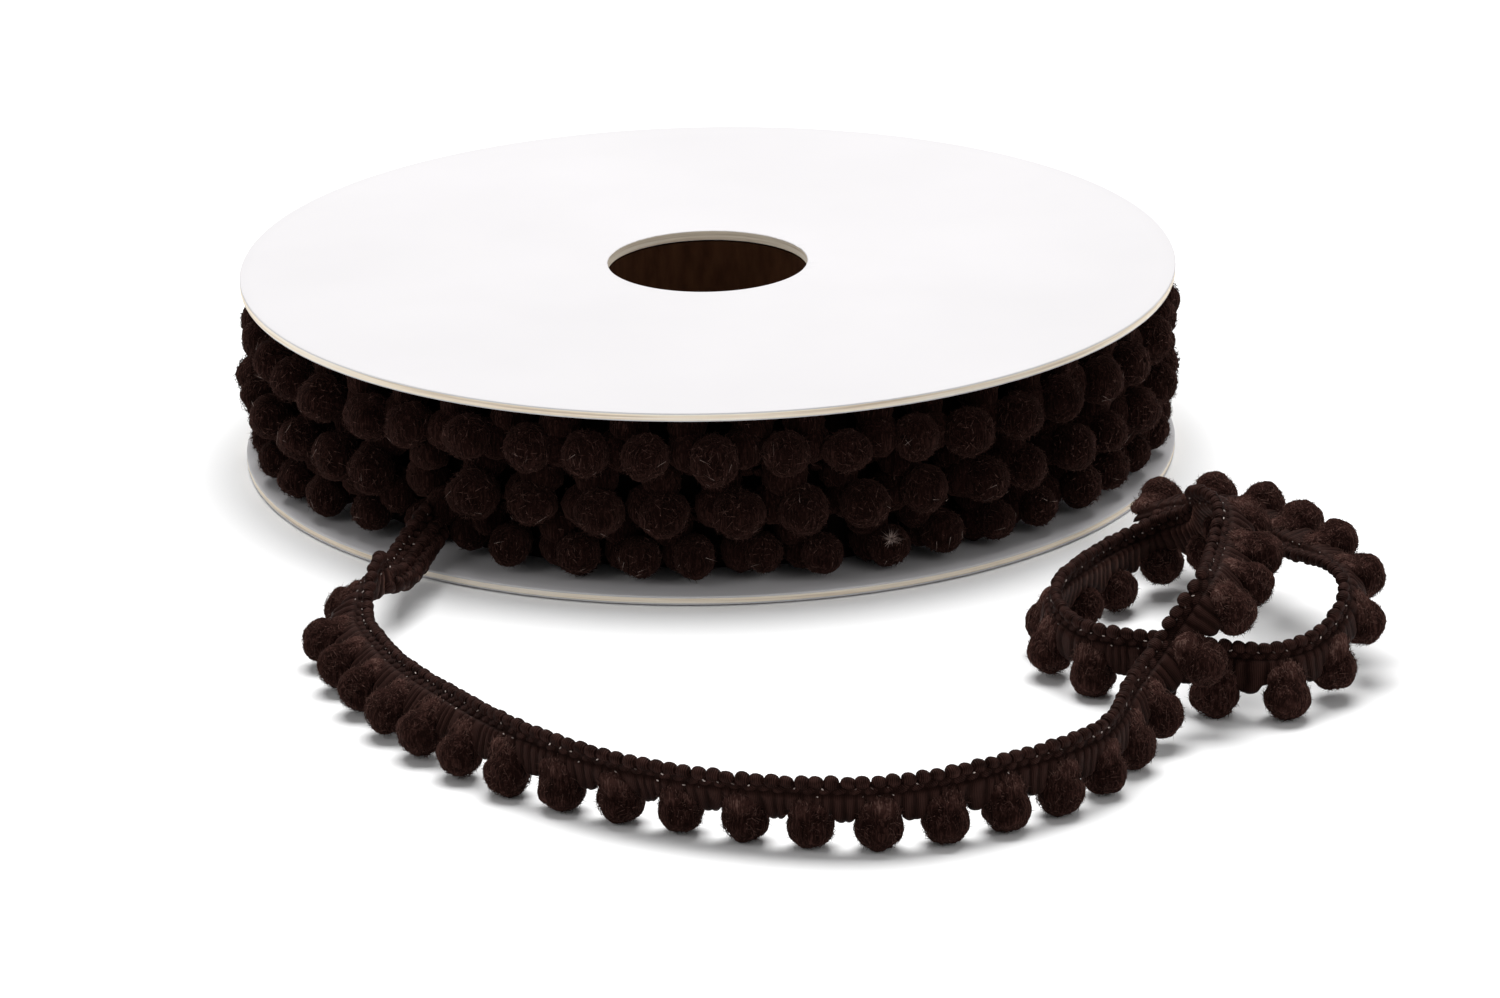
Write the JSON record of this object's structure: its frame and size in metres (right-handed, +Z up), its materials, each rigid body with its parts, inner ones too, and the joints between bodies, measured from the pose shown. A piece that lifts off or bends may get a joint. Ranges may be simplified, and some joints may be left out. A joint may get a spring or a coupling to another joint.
{
  "type": "pompom fringe trim wound on a card reel",
  "caption": "Flat white card reel wound with dark brown pompom fringe trim, its loose end lying in front in a raised loop.",
  "frame": {"origin": "middle of the footprint of the reel and its loose end together, on the surface they lie on", "axes": "+Z up, along the reel's axis; -Y towards the front, where the loose end lies; +X to the right seen from the front"},
  "size_m": [0.2091, 0.3004, 0.0373],
  "materials": {
    "flange_card": "white paper over grey board, matt",
    "core_card": "raw brown card, matt",
    "wound_yarn": "dark chocolate brown chenille yarn, fuzzy and matt",
    "heading_cord": "dark chocolate brown crocheted cord, slight sheen",
    "pompom_yarn": "dark chocolate brown pompoms on a wrapped floss band"
  },
  "bodies": {
    "root": {"flange_bottom": "flange_card", "flange_top": "flange_card", "core_tube": "core_card", "wound_trim": "wound_yarn", "loose_heading": "heading_cord", "loose_pompom_strip": "pompom_yarn"}
  },
  "joints": []
}
